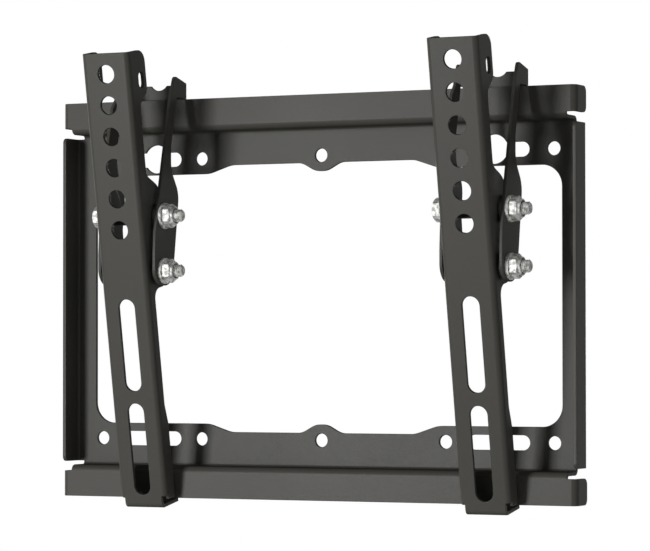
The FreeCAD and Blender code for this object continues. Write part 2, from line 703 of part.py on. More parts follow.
def draw_hexagon(sketch, flats):
    """A hexagon about the origin with two of its corners upright."""
    half = flats / 2
    low = flats / (2 * math.sqrt(3))
    tip = flats / math.sqrt(3)
    draw_outline(sketch, [(half, low), (0, tip), (-half, low), (-half, -low), (0, -tip),
                          (half, -low)])


def chamfer_hexagon(body, label, flats, end, back):
    """Take the corners off the end of a hexagon by a cone about its axis."""
    corner = new_sketch(body, label, "XY_Plane")
    rim = size("hex_rim") / 2
    beyond = flats * 2 / 3
    slope = (beyond - rim) * HEX_SLOPE * back
    draw_outline(corner, [(end, rim), (end, beyond), (end + slope, beyond)])
    groove(body, corner, "H_Axis", WHOLE_TURN)


def make_ring(label, across, outward, up, outer, inner, thick):
    """A flat ring whose face away from its first side looks to the right."""
    body = new_body(label, across, outward, up)
    ring = new_sketch(body, f"{label}_ring", "YZ_Plane")
    draw_circle(ring, 0, 0, outer)
    draw_circle(ring, 0, 0, inner)
    pad(body, ring, thick)


def make_nut(label, across, outward, up):
    """A hexagon lock nut with a round collar on its outer side."""
    flats = size("nut_flats")
    height = size("nut_height")
    hexagon_end = height - size("nut_collar")
    body = new_body(label, across, outward, up)
    hexagon = new_sketch(body, f"{label}_hexagon", "YZ_Plane")
    draw_hexagon(hexagon, flats)
    pad(body, hexagon, hexagon_end)
    chamfer_hexagon(body, f"{label}_chamfer", flats, hexagon_end, -1)
    collar = new_sketch(body, f"{label}_collar", "YZ_Plane")
    draw_circle(collar, 0, 0, size("collar_dia"))
    pad(body, collar, height)
    bore = new_sketch(body, f"{label}_bore", "YZ_Plane")
    draw_circle(bore, 0, 0, size("bolt_dia"))
    cut_through(body, bore)


def make_pivot_bolt(label, across, outward, up, length):
    """A hexagon bolt from the left, with its origin under the head."""
    flats = size("head_flats")
    radius = size("bolt_dia") / 2
    tip = size("bolt_tip")
    head = -size("head_height")
    body = new_body(label, across, outward, up)
    hexagon = new_sketch(body, f"{label}_hexagon", "YZ_Plane")
    draw_hexagon(hexagon, flats)
    pad(body, hexagon, size("head_height"), reverse=True)
    chamfer_hexagon(body, f"{label}_chamfer", flats, head, 1)
    add_shank(body, f"{label}_shank", head / 2, length, radius, tip)


def add_shank(body, label, start, length, radius, tip):
    """Turn a round shank with a chamfered end."""
    half = new_sketch(body, label, "XY_Plane")
    draw_outline(half, [(start, 0), (start, radius), (length - tip, radius),
                        (length, radius - tip), (length, 0)])
    turned = body.newObject("PartDesign::Revolution", f"{label}_turned")
    turned.Profile = half
    turned.ReferenceAxis = (half, ["H_Axis"])
    bind(turned, "Angle", WHOLE_TURN)
    doc.recompute()


def make_lock_bolt(label, across, outward, up, length):
    """A round-headed bolt from inside the arm, with its origin under the head."""
    radius = size("bolt_dia") / 2
    height = size("cup_height")
    body = new_body(label, across, outward, up)
    head = new_sketch(body, f"{label}_head", "XY_Plane")
    rim = size("cup_dia") / 2
    draw_outline(head, [(0, 0), (0, rim), (-size("cup_rim"), rim),
                        (-height, size("cup_flat") / 2), (-height, 0)])
    turned = body.newObject("PartDesign::Revolution", f"{label}_head_turned")
    turned.Profile = head
    turned.ReferenceAxis = (head, ["H_Axis"])
    bind(turned, "Angle", WHOLE_TURN)
    doc.recompute()
    add_shank(body, f"{label}_shank", -(height / 2), length, radius, size("bolt_tip"))


def make_side(name, across):
    """One arm with its hook bracket and fasteners."""
    arm_half = size("arm_width") / 2
    left = arm_half + size("hook_gap_left") + size("hook_sheet")
    face = arm_half + size("hook_gap_right")
    right = face + size("hook_sheet")
    outward = -size("pivot_out")
    up = pivot_up
    lock_up = up - size("lock_drop")
    washer = size("washer_thick")
    washer_dia = size("washer_dia")
    spacer = size("hook_gap_right") - size("spacer_clear")
    bore = size("bolt_dia") + size("bolt_play") * 2
    head_seat = left + washer
    nut_seat = right + washer
    bolt_end = nut_seat + size("nut_height") + size("bolt_end")
    make_hook_bracket(f"{name}_hook_bracket", across)
    make_arm(f"{name}_arm", across)

    # Tilt pivot, from the left
    make_pivot_bolt(f"{name}_pivot_bolt", across - head_seat, outward, up, head_seat + bolt_end)
    make_ring(f"{name}_pivot_head_washer", across - head_seat, outward, up, washer_dia, bore,
              washer)
    make_ring(f"{name}_pivot_spacer", across + face - spacer, outward, up, washer_dia, bore,
              spacer)
    make_ring(f"{name}_pivot_washer", across + right, outward, up, washer_dia, bore, washer)
    sleeve = arm_half - size("arm_sheet") - size("sleeve_clear")
    make_ring(f"{name}_pivot_sleeve", across - sleeve, outward, up, size("sleeve_dia"),
              size("bolt_dia"), sleeve * 2)
    make_nut(f"{name}_pivot_nut", across + nut_seat, outward, up)

    # Tilt lock, from inside the arm
    head_face = arm_half - size("arm_sheet") - size("cup_clear")
    make_lock_bolt(f"{name}_lock_bolt", across + head_face, outward, lock_up,
                   bolt_end - head_face)
    make_ring(f"{name}_lock_spacer", across + face - spacer, outward, lock_up, washer_dia, bore,
              spacer)
    make_ring(f"{name}_lock_washer", across + right, outward, lock_up, washer_dia, bore, washer)
    make_nut(f"{name}_lock_nut", across + nut_seat, outward, lock_up)


make_wall_plate()
make_side("left", -(half_plate - size("left_side")))
make_side("right", half_plate - size("right_side"))
doc.recompute()

for item in doc.Objects:
    if "Invalid" in item.State or "Error" in item.State:
        raise RuntimeError(f"{item.Name} failed: {item.State}")
bodies = [item for item in doc.Objects if item.TypeId == "PartDesign::Body"]
for body in bodies:
    if body.Shape.isNull() or not body.Shape.isValid() or len(body.Shape.Solids) != 1:
        raise RuntimeError(f"{body.Label} is not one sound solid")

os.makedirs("parts", exist_ok=True)
for body in bodies:
    body.Shape.exportStep(f"parts/{body.Label}.step")
    box = body.Shape.BoundBox
    print(f"{body.Label}: {body.Shape.Volume:.0f} mm3,"
          f" X {box.XMin:.1f} {box.XMax:.1f}, Y {box.YMin:.1f} {box.YMax:.1f},"
          f" Z {box.ZMin:.1f} {box.ZMax:.1f}")
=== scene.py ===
import math

import bmesh
import bpy
from bpy.props import FloatProperty, FloatVectorProperty, IntProperty, PointerProperty
from bpy.types import Operator, Panel, PropertyGroup
from mathutils import Matrix, Vector


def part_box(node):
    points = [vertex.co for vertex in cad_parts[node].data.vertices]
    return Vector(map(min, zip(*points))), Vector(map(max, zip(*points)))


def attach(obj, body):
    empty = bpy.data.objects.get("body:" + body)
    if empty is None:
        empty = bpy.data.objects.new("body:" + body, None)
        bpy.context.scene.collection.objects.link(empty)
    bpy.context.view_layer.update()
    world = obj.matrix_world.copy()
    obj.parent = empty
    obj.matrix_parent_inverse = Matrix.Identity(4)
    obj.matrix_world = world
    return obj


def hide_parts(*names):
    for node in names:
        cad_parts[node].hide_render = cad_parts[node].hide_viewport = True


bl_info = {
    "name": "Tilting Wall Mount",
    "version": (1, 0, 0),
    "blender": (4, 5, 0),
    "location": "View3D > Sidebar > Wall Mount",
    "description": "Coated sheets, plated fasteners and a studio for the tilting wall mount",
    "category": "Object",
}

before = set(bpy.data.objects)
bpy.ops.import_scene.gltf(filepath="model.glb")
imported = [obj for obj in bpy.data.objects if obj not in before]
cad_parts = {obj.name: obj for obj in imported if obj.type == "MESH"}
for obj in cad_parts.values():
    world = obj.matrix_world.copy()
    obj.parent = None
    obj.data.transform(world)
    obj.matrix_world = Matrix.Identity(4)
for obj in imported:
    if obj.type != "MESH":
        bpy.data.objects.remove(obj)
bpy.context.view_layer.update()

SIDES = ("left", "right")
FLOAT = "NodeSocketFloat"
SHAPE = "NodeSocketGeometry"

# Mesh work: distances in metres, and angles between faces; a face is in a fold
# where the upright share of its normal is more than FOLD
WELD = 3e-6
FLAT = math.radians(0.4)
SHARP = math.radians(34.0)
FOLD = math.cos(math.radians(55.0))
CUT_EDGE_STEPS = 2
NORMAL_WEIGHT = 60
ROUND_STEPS = 72

# Powder coat: a bump is its strength and its depth in metres
COAT_GLOSS = 0.12
# Faces that point up or down lose the coat's gloss: painted shade on the ledges and tabs
FOLD_PAINTED_SHADE_GLOSS = 0.0
# The next factor darkens the brackets' copy of the coat: painted shade, for the shade they sit in
# behind the arms
BRACKET_PAINTED_SHADE = 0.92
COAT_DRIFT = 0.10
COAT_BUMP = (0.30, 0.00006)
CLOUDS_PER_METRE = 16.0
FLECKS_PER_BUMP = 2.3
FLECK_TONE = 0.22
PEEL_DULLNESS = 0.16

# Zinc plating: the shifts are added to its roughness
PATCHES_PER_METRE = 520.0
PATCH_EDGES = (0.40, 0.64)
MARKS_PER_METRE = 1300.0
MARK_DULLNESS = 0.3
ZINC_BUMP = (0.5, 0.00008)
NUT_SHIFT = -0.02
WASHER_SHIFT = 0.05

# Nylon
NYLON_ROUGHNESS = 0.5
NYLON_BUMPS_PER_METRE = 2500.0
NYLON_DRIFT = 0.15
NYLON_BUMP = (0.2, 0.00004)

# Threads and washers: points round the thread, steps in one turn and steepness of its flanks
THREAD_POINTS = 36
STEPS_PER_TURN = 10.0
FLANK_SLOPE = 2.5
TIP_SHARE = 0.24
WASHER_EDGE_STEPS = 3

# Bolt heads: shares of a width or depth, and lengths in metres
CHAMFER_ANGLE = math.radians(30.0)
SHANK_END = 0.002
HEAD_SHARE = 1.3
DISH_SHARE = 0.30
DISH_RINGS = ((0.0005, 0.72), (0.0004, 0.86))
DOME_DEPTH = 0.66
DOME_CURVE = 0.55
DOME_FLAT = 0.2
DOME_STEPS = 8
DOME_EDGE = 0.0002

# Lock nuts: shares of the width across the flats, and lengths in metres
COLLAR_SHARE = 0.44
BORE_SHARE = 0.297
COLLAR_HEIGHT = 0.0012
COLLAR_FOOT = 0.00015
COLLAR_EDGE = 0.0004
COLLAR_CURVE = 0.00012
BORE_CHAMFER = 0.0004
INSERT_WIDTH = 0.0006
INSERT_DEPTH = 0.0003
INSERT_STRIPS = slice(11, 13)

# Camera
SENSOR = 36.0
CLIP = (0.05, 50.0)
FORWARD = Vector((-0.43577, 0.89974, 0.02395))
ROUGH_UP = Vector((0.01115, -0.02121, 0.99971))

# Place and width of each lamp, in metres; its power is the setting of that name
LAMPS = {
    "key": ((-0.83, -1.82, -0.16), 0.40),
    "upper": ((-0.83, -1.82, 0.30), 0.40),
    "fill": ((1.70, -0.62, 0.84), 0.9),
    "back": ((-0.55, 1.60, 0.25), 1.0),
}

# Floor
FLOOR_RADIUS = 1.2
FLOOR_STEPS = 96
FLOOR_ROUGHNESS = 0.9
FLOOR_GLOSS = 0.1
FLOOR_TONES = (0.83, 0.87)
FLOOR_CLOUDS_PER_METRE = 35.0
FLOOR_DETAIL = 2.0
WHITE = (1.0, 1.0, 1.0, 1.0)

# Mirrored room: a direction, and the cosines between which its tone changes
PANEL = ((-0.8, 0.6, 0.0), (0.2, 0.7))
PANEL_LEVELS = (0.0, 1.0)
DARK_SIDE = ((0.44, 0.9, 0.0), (0.4, 0.8))
CEILING = ((0.0, 0.0, 1.0), (0.2, 0.8))
CEILING_LEVELS = (1.0, 0.3)


class CoatSettings(PropertyGroup):
    """Powder coat on the folded sheets."""

    colour: FloatVectorProperty(
        name="Coat Colour",
        description="Colour of the powder coat",
        subtype="COLOR",
        size=3,
        min=0.0,
        max=1.0,
        default=(0.078, 0.0758, 0.0680),
    )
    roughness: FloatProperty(
        name="Coat Roughness",
        description="Roughness of the powder coat",
        subtype="FACTOR",
        min=0.0,
        max=1.0,
        default=0.36,
    )
    grain: FloatProperty(
        name="Grain",
        description="Distance from one bump of the baked powder to the next",
        unit="LENGTH",
        default=0.0007,
    )
    edge: FloatProperty(
        name="Edge Rounding",
        description="Radius that the coat leaves on a cut edge",
        unit="LENGTH",
        default=0.00025,
    )


class FastenerSettings(PropertyGroup):
    """Plated bolts, nuts and washers."""

    colour: FloatVectorProperty(
        name="Plating Colour",
        description="Colour of the zinc plating",
        subtype="COLOR",
        size=3,
        min=0.0,
        max=1.0,
        default=(0.79, 0.79, 0.77),
    )
    roughness: FloatProperty(
        name="Plating Roughness",
        description="Roughness of the zinc plating",
        subtype="FACTOR",
        min=0.0,
        max=1.0,
        default=0.68,
    )
    dullness: FloatProperty(
        name="Dull Patches",
        description="Tone of the dull patches in the plating, as a share of its colour",
        subtype="FACTOR",
        min=0.0,
        max=1.0,
        default=0.5,
    )
    # This colour also paints the pivot sleeves black: painted shade, for the shade inside the arms
    nylon: FloatVectorProperty(
        name="Nylon Colour",
        description="Colour of the spacers, the sleeves and the inserts of the nuts",
        subtype="COLOR",
        size=3,
        min=0.0,
        max=1.0,
        default=(0.035, 0.035, 0.035),
    )
    pitch: FloatProperty(
        name="Thread Pitch",
        description="Advance of the thread in one turn",
        unit="LENGTH",
        default=0.001,
    )
    depth: FloatProperty(
        name="Thread Depth",
        description="Depth of the thread groove",
        unit="LENGTH",
        default=0.00058,
    )
    threaded: FloatProperty(
        name="Threaded Length",
        description="Length of thread at the end of each bolt",
        unit="LENGTH",
        default=0.0115,
    )
    chamfer: FloatProperty(
        name="Hexagon Chamfer",
        description="Radius where the chamfer of a hexagon begins, as a share of half its width",
        subtype="FACTOR",
        min=0.0,
        max=1.0,
        default=0.96,
    )
    ring_edge: FloatProperty(
        name="Washer Edge",
        description="Rounding of the washers' edges",
        unit="LENGTH",
        default=0.00025,
    )
    ring_steps: IntProperty(
        name="Washer Steps",
        description="Points round a washer",
        min=12,
        default=56,
    )


class StageSettings(PropertyGroup):
    """Camera, lamps and floor."""

    lens: FloatProperty(
        name="Lens",
        description="Focal length of the camera in millimetres",
        default=179.397,
    )
    camera: FloatVectorProperty(
        name="Camera Place",
        description="Where the camera stands",
        subtype="TRANSLATION",
        unit="LENGTH",
        size=3,
        default=(0.67883, -1.39911, -0.02660),
    )
    floor: FloatProperty(
        name="Floor Level",
        description="Height of the floor",
        unit="LENGTH",
        default=-0.30,
    )
    paper: FloatProperty(
        name="Floor Brightness",
        description="Glow of the floor that only the camera, mirrors and glass see",
        default=0.4,
    )
    key: FloatProperty(
        name="Key Lamp",
        description="Power of the lamp at the front left, a little below the middle",
        unit="POWER",
        default=13.5,
    )
    upper: FloatProperty(
        name="Upper Lamp",
        description="Power of the lamp above the key lamp",
        unit="POWER",
        default=9.5,
    )
    fill: FloatProperty(
        name="Fill Lamp",
        description="Power of the weak lamp on the right",
        unit="POWER",
        default=3.2,
    )
    back: FloatProperty(
        name="Back Lamp",
        description="Power of the lamp behind the mount",
        unit="POWER",
        default=14.0,
    )
    ambient: FloatProperty(
        name="Ambient",
        description="Strength of the light from all round",
        default=0.09,
    )
    room: FloatProperty(
        name="Room",
        description="Strength of the room round the mount, as the plating mirrors it",
        default=0.62,
    )
    dark: FloatProperty(
        name="Dark Side",
        description="Strength of the room behind the mount on the right, as glossy faces mirror it",
        default=0.3,
    )


# Node trees


def add_node(tree, kind, inputs=None, **settings):
    """Adds a node, sets it up and links or fills its inputs."""
    node = tree.nodes.new(kind)
    for name, value in settings.items():
        setattr(node, name, value)
    for key, value in (inputs or {}).items():
        if isinstance(value, bpy.types.NodeSocket):
            tree.links.new(value, node.inputs[key])
        else:
            node.inputs[key].default_value = value
    return node


def calc(tree, operation, *values):
    """Adds a math node and returns its result."""
    return add_node(
        tree, "ShaderNodeMath", dict(enumerate(values)), operation=operation
    ).outputs[0]


def noise(tree, place, scale, detail):
    """Adds a noise texture and returns its value."""
    return add_node(
        tree,
        "ShaderNodeTexNoise",
        {"Vector": place, "Scale": scale, "Detail": detail},
    ).outputs[0]


def swing(tree, value, amount):
    """Turns noise from 0 to 1 into an amount either side of zero."""
    return calc(tree, "MULTIPLY", calc(tree, "SUBTRACT", value, 0.5), amount)


def new_tree(name, kind, inputs, outputs):
    """Starts a node group with named sockets; returns the tree and its two ends."""
    tree = bpy.data.node_groups.new(name, kind)
    for label, socket in inputs:
        tree.interface.new_socket(name=label, in_out="INPUT", socket_type=socket)
    for label, socket in outputs:
        tree.interface.new_socket(name=label, in_out="OUTPUT", socket_type=socket)
    start = tree.nodes.new("NodeGroupInput")
    end = tree.nodes.new("NodeGroupOutput")
    return tree, start.outputs, end.inputs


def finish_shape(tree, shape, material, end):
    """Ends a geometry tree in real faces with their material."""
    real = add_node(tree, "GeometryNodeRealizeInstances", {"Geometry": shape})
    coated = add_node(
        tree,
        "GeometryNodeSetMaterial",
        {"Geometry": real.outputs["Geometry"], "Material": material},
    )
    tree.links.new(coated.outputs["Geometry"], end["Geometry"])


def thread_tree():
    """A threaded bolt end along X, added to the head and plain shank it is given."""
    tree, given, end = new_tree(
        "threaded_end",
        "GeometryNodeTree",
        [
            ("Geometry", SHAPE),
            ("Start", "NodeSocketVector"),
            ("Length", FLOAT),
            ("Radius", FLOAT),
            ("Pitch", FLOAT),
            ("Depth", FLOAT),
            ("Tip", FLOAT),
            ("Material", "NodeSocketMaterial"),
        ],
        [("Geometry", SHAPE)],
    )
    turns = calc(tree, "DIVIDE", given["Length"], given["Pitch"])
    steps = calc(tree, "MULTIPLY", turns, STEPS_PER_TURN)
    rod = add_node(
        tree,
        "GeometryNodeMeshCylinder",
        {
            "Vertices": THREAD_POINTS,
            "Side Segments": steps,
            "Radius": given["Radius"],
            "Depth": given["Length"],
        },
        fill_type="NGON",
    )
    place = add_node(
        tree,
        "ShaderNodeSeparateXYZ",
        {0: add_node(tree, "GeometryNodeInputPosition").outputs[0]},
    ).outputs
    along = calc(
        tree, "ADD", place["Z"], calc(tree, "MULTIPLY", given["Length"], 0.5)
    )
    angle = calc(tree, "ARCTAN2", place["Y"], place["X"])
    phase = calc(
        tree,
        "SUBTRACT",
        calc(tree, "DIVIDE", along, given["Pitch"]),
        calc(tree, "DIVIDE", angle, 2.0 * math.pi),
    )
    flank = calc(tree, "PINGPONG", phase, 0.5)
    groove = calc(
        tree,
        "MAXIMUM",
        calc(tree, "SUBTRACT", 1.0, calc(tree, "MULTIPLY", flank, FLANK_SLOPE)),
        0.0,
    )
    cut = calc(
        tree,
        "SUBTRACT",
        given["Radius"],
        calc(tree, "MULTIPLY", groove, given["Depth"]),
    )
    left = calc(tree, "SUBTRACT", given["Length"], along)
    point = calc(
        tree, "ADD", calc(tree, "SUBTRACT", given["Radius"], given["Tip"]), left
    )
    radius = calc(tree, "MINIMUM", cut, point)
    spot = add_node(
        tree,
        "ShaderNodeCombineXYZ",
        {
            "X": along,
            "Y": calc(tree, "MULTIPLY", radius, calc(tree, "COSINE", angle)),
            "Z": calc(tree, "MULTIPLY", radius, calc(tree, "SINE", angle)),
        },
    ).outputs[0]
    moved = add_node(
        tree,
        "ShaderNodeVectorMath",
        {0: spot, 1: given["Start"]},
        operation="ADD",
    ).outputs[0]
    wound = add_node(
        tree,
        "GeometryNodeSetPosition",
        {"Geometry": rod.outputs["Mesh"], "Position": moved},
    )
    joined = add_node(tree, "GeometryNodeJoinGeometry")
    tree.links.new(wound.outputs["Geometry"], joined.inputs[0])
    tree.links.new(given["Geometry"], joined.inputs[0])
    finish_shape(tree, joined.outputs[0], given["Material"], end)
    return tree


def washer_tree():
    """A washer with rounded edges at each point; "thick" on a point is its thickness."""
    tree, given, end = new_tree(
        "washer_on_each_point",
        "GeometryNodeTree",
        [
            ("Geometry", SHAPE),
            ("Outer Radius", FLOAT),
            ("Inner Radius", FLOAT),
            ("Thickness", FLOAT),
            ("Edge", FLOAT),
            ("Steps", "NodeSocketInt"),
            ("Material", "NodeSocketMaterial"),
        ],
        [("Geometry", SHAPE)],
    )
    outer, inner = given["Outer Radius"], given["Inner Radius"]
    middle = calc(tree, "MULTIPLY", calc(tree, "ADD", outer, inner), 0.5)
    ring = add_node(
        tree,
        "GeometryNodeCurvePrimitiveCircle",
        {"Resolution": given["Steps"], "Radius": middle},
    )
    section = add_node(
        tree,
        "GeometryNodeCurvePrimitiveQuadrilateral",
        {"Width": calc(tree, "SUBTRACT", outer, inner), "Height": given["Thickness"]},
    )
    rounded = add_node(
        tree,
        "GeometryNodeFilletCurve",
        {
            "Curve": section.outputs[0],
            "Count": WASHER_EDGE_STEPS,
            "Radius": given["Edge"],
        },
        mode="POLY",
    )
    swept = add_node(
        tree,
        "GeometryNodeCurveToMesh",
        {"Curve": ring.outputs[0], "Profile Curve": rounded.outputs[0]},
    )
    thick = add_node(
        tree,
        "GeometryNodeInputNamedAttribute",
        {"Name": "thick"},
        data_type="FLOAT",
    ).outputs["Attribute"]
    stretch = add_node(
        tree,
        "ShaderNodeCombineXYZ",
        {"X": 1.0, "Y": 1.0, "Z": calc(tree, "DIVIDE", thick, given["Thickness"])},
    ).outputs[0]
    placed = add_node(
        tree,
        "GeometryNodeInstanceOnPoints",
        {
            "Points": given["Geometry"],
            "Instance": swept.outputs[0],
            "Rotation": (0.0, math.pi / 2.0, 0.0),
            "Scale": stretch,
        },
    )
    finish_shape(tree, placed.outputs[0], given["Material"], end)
    return tree


def nut_tree():
    """A lock nut at each point; faces marked "insert" get the nylon."""
    tree, given, end = new_tree(
        "nut_on_each_point",
        "GeometryNodeTree",
        [
            ("Geometry", SHAPE),
            ("Nut", "NodeSocketObject"),
            ("Plating", "NodeSocketMaterial"),
            ("Nylon", "NodeSocketMaterial"),
        ],
        [("Geometry", SHAPE)],
    )
    nut = add_node(tree, "GeometryNodeObjectInfo", {"Object": given["Nut"]})
    placed = add_node(
        tree,
        "GeometryNodeInstanceOnPoints",
        {"Points": given["Geometry"], "Instance": nut.outputs["Geometry"]},
    )
    real = add_node(
        tree, "GeometryNodeRealizeInstances", {"Geometry": placed.outputs[0]}
    )
    plated = add_node(
        tree,
        "GeometryNodeSetMaterial",
        {"Geometry": real.outputs[0], "Material": given["Plating"]},
    )
    insert = add_node(
        tree,
        "GeometryNodeInputNamedAttribute",
        {"Name": "insert"},
        data_type="BOOLEAN",
    ).outputs["Attribute"]
    lined = add_node(
        tree,
        "GeometryNodeSetMaterial",
        {"Geometry": plated.outputs[0], "Selection": insert, "Material": given["Nylon"]},
    )
    tree.links.new(lined.outputs[0], end["Geometry"])
    return tree


# Finishes


def powder_group():
    """Baked powder: fine orange-peel bumps and a faint drift of tone."""
    tree, given, end = new_tree(
        "powder_coat",
        "ShaderNodeTree",
        [
            ("Colour", "NodeSocketColor"),
            ("Roughness", FLOAT),
            ("Bumps per Metre", FLOAT),
            ("Drift", FLOAT),
        ],
        [("Colour", "NodeSocketColor"), ("Roughness", FLOAT), ("Height", FLOAT)],
    )
    place = add_node(tree, "ShaderNodeTexCoord").outputs["Object"]
    peel = noise(tree, place, given["Bumps per Metre"], 2.0)
    cloud = noise(tree, place, CLOUDS_PER_METRE, 3.0)
    fine = calc(tree, "MULTIPLY", given["Bumps per Metre"], FLECKS_PER_BUMP)
    speck = noise(tree, place, fine, 1.0)
    drift = swing(tree, cloud, given["Drift"])
    fleck = swing(tree, speck, FLECK_TONE)
    tone = calc(tree, "ADD", calc(tree, "ADD", drift, fleck), 1.0)
    colour = add_node(
        tree,
        "ShaderNodeVectorMath",
        {0: given["Colour"], "Scale": tone},
        operation="SCALE",
    ).outputs[0]
    tree.links.new(colour, end["Colour"])
    spread = swing(tree, peel, PEEL_DULLNESS)
    dull = calc(tree, "ADD", given["Roughness"], calc(tree, "ADD", spread, drift))
    tree.links.new(dull, end["Roughness"])
    tree.links.new(peel, end["Height"])
    return tree


def plating_group():
    """Bright zinc: patches of bright and dull plating, with small dents."""
    tree, given, end = new_tree(
        "zinc_plating",
        "ShaderNodeTree",
        [
            ("Colour", "NodeSocketColor"),
            ("Dull", "NodeSocketColor"),
            ("Roughness", FLOAT),
            ("Marks per Metre", FLOAT),
        ],
        [("Colour", "NodeSocketColor"), ("Roughness", FLOAT), ("Height", FLOAT)],
    )
    place = add_node(tree, "ShaderNodeTexCoord").outputs["Object"]
    cloud = noise(tree, place, PATCHES_PER_METRE, 2.0)
    tint = add_node(
        tree,
        "ShaderNodeMapRange",
        {"Value": cloud, "From Min": PATCH_EDGES[0], "From Max": PATCH_EDGES[1]},
        interpolation_type="SMOOTHSTEP",
    ).outputs[0]
    marks = noise(tree, place, given["Marks per Metre"], 3.0)
    colour = add_node(
        tree,
        "ShaderNodeMix",
        {"Factor": tint},
        data_type="RGBA",
    )
    mixed = next(socket for socket in colour.outputs if socket.type == "RGBA")
    for key, source in (("A", given["Colour"]), ("B", given["Dull"])):
        socket = next(
            each for each in colour.inputs if each.name == key and each.type == "RGBA"
        )
        tree.links.new(source, socket)
    tree.links.new(mixed, end["Colour"])
    spread = swing(tree, marks, MARK_DULLNESS)
    tree.links.new(calc(tree, "ADD", given["Roughness"], spread), end["Roughness"])
    tree.links.new(marks, end["Height"])
    return tree


def new_material(name, values):
    """A material with set values in its surface; returns it, its tree and its surface."""
    material = bpy.data.materials.new(name)
    material.use_nodes = True
    surface = material.node_tree.nodes["Principled BSDF"]
    for key, value in values.items():
        surface.inputs[key].default_value = value
    return material, material.node_tree, surface


def new_finish(name, group, values, bump, surface_values):
    """A material whose colour, roughness and bumps come from a shared group."""
    material, tree, surface = new_material(name, surface_values)
    detail = add_node(tree, "ShaderNodeGroup", node_tree=group)
    for key, value in values.items():
        detail.inputs[key].default_value = value
    bumps = add_node(
        tree,
        "ShaderNodeBump",
        {"Strength": bump[0], "Distance": bump[1], "Height": detail.outputs["Height"]},
    )
    tree.links.new(detail.outputs["Colour"], surface.inputs["Base Color"])
    tree.links.new(detail.outputs["Roughness"], surface.inputs["Roughness"])
    tree.links.new(bumps.outputs["Normal"], surface.inputs["Normal"])
    return material


def group_named(name, maker):
    """The group of that name, made the first time it is asked for."""
    return bpy.data.node_groups.get(name) or maker()


def coat_finish(name, painted_shade, gloss):
    """Powder coat for one kind of sheet; a factor below 1 darkens its colour as painted shade."""
    coat = bpy.context.scene.mount_coat
    return new_finish(
        name,
        group_named("powder_coat", powder_group),
        {
            "Colour": (*(value * painted_shade for value in coat.colour), 1.0),
            "Roughness": coat.roughness,
            "Bumps per Metre": 1.0 / coat.grain,
            "Drift": COAT_DRIFT,
        },
        COAT_BUMP,
        {"Specular IOR Level": gloss},
    )


def zinc_finish(name, roughness_shift=0.0):
    """Zinc plating for one kind of fastener."""
    zinc = bpy.context.scene.mount_fasteners
    dull = [value * zinc.dullness for value in zinc.colour]
    return new_finish(
        name,
        group_named("zinc_plating", plating_group),
        {
            "Colour": (*zinc.colour, 1.0),
            "Dull": (*dull, 1.0),
            "Roughness": zinc.roughness + roughness_shift,
            "Marks per Metre": MARKS_PER_METRE,
        },
        ZINC_BUMP,
        {"Metallic": 1.0},
    )


def nylon_and_shadow_finish(name):
    """Black moulded nylon for one kind of fastener; on the pivot sleeves the black is painted
    shade.
    """
    return new_finish(
        name,
        group_named("powder_coat", powder_group),
        {
            "Colour": (*bpy.context.scene.mount_fasteners.nylon, 1.0),
            "Roughness": NYLON_ROUGHNESS,
            "Bumps per Metre": NYLON_BUMPS_PER_METRE,
            "Drift": NYLON_DRIFT,
        },
        NYLON_BUMP,
        {},
    )


# Shapes


def show(name, mesh):
    """Puts a mesh in the scene under its own name."""
    piece = bpy.data.objects.new(name, mesh)
    bpy.context.scene.collection.objects.link(piece)
    return piece


def show_shape(name, shape):
    """Puts a shape of mesh code in the scene and frees it."""
    mesh = bpy.data.meshes.new(name)
    shape.to_mesh(mesh)
    shape.free()
    return show(name, mesh)


def make_plain(piece):
    """Turns a piece and its modifiers into a plain mesh."""
    bpy.context.view_layer.update()
    graph = bpy.context.evaluated_depsgraph_get()
    mesh = bpy.data.meshes.new_from_object(
        piece.evaluated_get(graph), preserve_all_data_layers=True, depsgraph=graph
    )
    mesh.name = piece.name
    piece.modifiers.clear()
    piece.data = mesh


def grow(piece, tree, values):
    """Runs a geometry tree on a piece and keeps the result as its mesh."""
    modifier = piece.modifiers.new("shape", "NODES")
    modifier.node_group = tree
    for item in tree.interface.items_tree:
        if item.item_type == "SOCKET" and item.name in values:
            modifier[item.identifier] = values[item.name]
    make_plain(piece)
    shape = bmesh.new()
    shape.from_mesh(piece.data)
    bmesh.ops.recalc_face_normals(shape, faces=shape.faces)
    for face in shape.faces:
        face.smooth = True
    shape.to_mesh(piece.data)
    shape.free()
    piece.data.set_sharp_from_angle(angle=SHARP)


def check_closed(shape, name):
    """Stops the script where a piece has an open or doubled edge."""
    faults = sum(1 for edge in shape.edges if len(edge.link_faces) != 2)
    if faults:
        raise RuntimeError(f"{name} has {faults} open edges")


def soften_sheet(node, name, radius):
    """A copy of a folded sheet with the cut edges rounded by its coat."""
    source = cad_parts[node].data
    mesh = bpy.data.meshes.new(name)
    mesh.from_pydata(
        [vertex.co for vertex in source.vertices],
        [],
        [tuple(face.vertices) for face in source.polygons],
    )
    sheet = bmesh.new()
    sheet.from_mesh(mesh)
    bmesh.ops.remove_doubles(sheet, verts=sheet.verts, dist=WELD)
    check_closed(sheet, name)
    bmesh.ops.dissolve_limit(
        sheet, angle_limit=FLAT, verts=sheet.verts, edges=sheet.edges
    )
    cut = [edge for edge in sheet.edges if edge.calc_face_angle(0.0) > SHARP]
    bmesh.ops.bevel(
        sheet,
        geom=cut,
        offset=radius,
        offset_type="OFFSET",
        segments=CUT_EDGE_STEPS,
        profile=0.5,
        affect="EDGES",
        clamp_overlap=False,
    )
    check_closed(sheet, name)
    for face in sheet.faces:
        face.smooth = True
    sheet.to_mesh(mesh)
    sheet.free()
    piece = show(name, mesh)
    weighted = piece.modifiers.new("even", "WEIGHTED_NORMAL")
    weighted.keep_sharp = True
    weighted.weight = NORMAL_WEIGHT
    make_plain(piece)
    return piece


